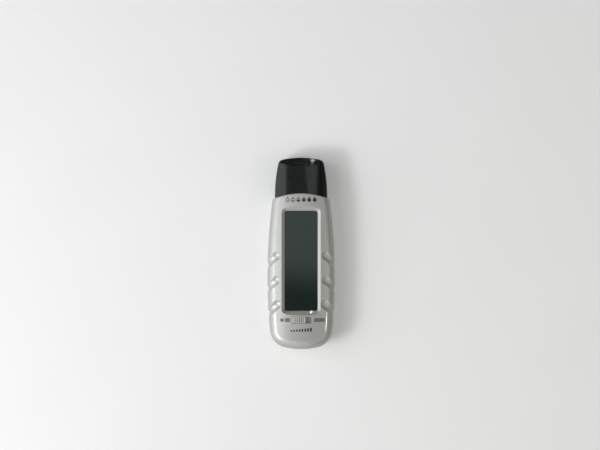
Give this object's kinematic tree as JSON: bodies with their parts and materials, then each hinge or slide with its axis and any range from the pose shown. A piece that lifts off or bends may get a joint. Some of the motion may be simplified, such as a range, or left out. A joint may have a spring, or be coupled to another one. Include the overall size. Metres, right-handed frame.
{
  "type": "pin moisture meter",
  "caption": "Pocket pin moisture meter for wood and building materials, with display window, slide switch, side grips, battery door and a cap over its two electrode pins.",
  "frame": {"origin": "centre of the bounding box's bottom face: the back of the case, on which the meter lies", "axes": "+Y along the meter towards the electrode pins under the cap; +Z out of the display; +X to the right as seen from the front"},
  "size_m": [0.0488, 0.139, 0.025],
  "materials": {
    "case_front": "pearl silver-white, glossy",
    "case_back": "pearl silver-white, glossy",
    "door": "pearl silver-white, glossy",
    "lens": "smoked acrylic, polished",
    "polariser_front": "satin film",
    "glass_upper": "clear",
    "glass_lower": "clear",
    "polariser_rear": "reflective film",
    "holder": "satin",
    "zebra_left": "matt",
    "zebra_right": "matt",
    "board": "green solder mask",
    "epoxy": "poured epoxy",
    "chip": "moulded",
    "trimmer": "moulded",
    "crystal_can": "drawn can",
    "capacitor_can": "sleeved can",
    "resistor": "glazed",
    "ceramic_chip": "fired",
    "knob": "satin off-white",
    "slider": "satin",
    "switch_steel": "nickelled sheet",
    "switch_plastic": "moulded",
    "terminal": "tinned",
    "cell_left": "printed sleeve",
    "cell_right": "printed sleeve",
    "spring_left": "nickelled wire",
    "spring_right": "nickelled wire",
    "link_plate": "nickelled sheet",
    "contact_left": "nickelled sheet",
    "contact_right": "nickelled sheet",
    "cap": "polished black",
    "head": "satin black",
    "bush_left": "turned",
    "bush_right": "turned",
    "pin_left": "ground",
    "pin_right": "ground",
    "tag_left": "tinned",
    "tag_right": "tinned",
    "nut": "turned",
    "case_screw": "zinc plated",
    "board_screw": "zinc plated"
  },
  "bodies": {
    "meter_body": {"front_case": "case_front", "back_case": "case_back", "window_lens": "lens", "lcd_front_polariser": "polariser_front", "lcd_upper_glass": "glass_upper", "lcd_lower_glass": "glass_lower", "lcd_rear_polariser": "polariser_rear", "lcd_holder": "holder", "zebra_strip_left": "zebra_left", "zebra_strip_right": "zebra_right", "main_board": "board", "controller_chip": "epoxy", "amplifier_chip": "chip", "trimmers": "trimmer", "crystal": "crystal_can", "capacitor": "capacitor_can", "chip_resistors": "resistor", "ceramic_capacitors": "ceramic_chip", "switch_frame": "switch_steel", "switch_base": "switch_plastic", "switch_terminals": "terminal", "battery_left": "cell_left", "battery_right": "cell_right", "battery_spring_left": "spring_left", "battery_spring_right": "spring_right", "battery_link_contact": "link_plate", "battery_contact_left": "contact_left", "battery_contact_right": "contact_right", "pin_head": "head", "pin_bush_left": "bush_left", "pin_bush_right": "bush_right", "electrode_pin_left": "pin_left", "electrode_pin_right": "pin_right", "pin_tag_left": "tag_left", "pin_tag_right": "tag_right", "pin_nuts": "nut", "case_screws": "case_screw", "board_screws": "board_screw"},
    "switch": {"switch_knob": "knob", "switch_slider": "slider"},
    "cap": {"pin_cap": "cap"},
    "battery_door": {"battery_door": "door"}
  },
  "joints": [
    {"name": "cap_slide", "type": "slide", "parent": "meter_body", "child": "cap", "axis": [0, 1, 0], "range_m": [0, 0.04]},
    {"name": "switch_slide", "type": "slide", "parent": "meter_body", "child": "switch", "axis": [1, 0, 0], "range_m": [0, 0.004]},
    {"name": "battery_door_slide", "type": "slide", "parent": "meter_body", "child": "battery_door", "axis": [0, -1, 0], "range_m": [0, 0.07]}
  ]
}
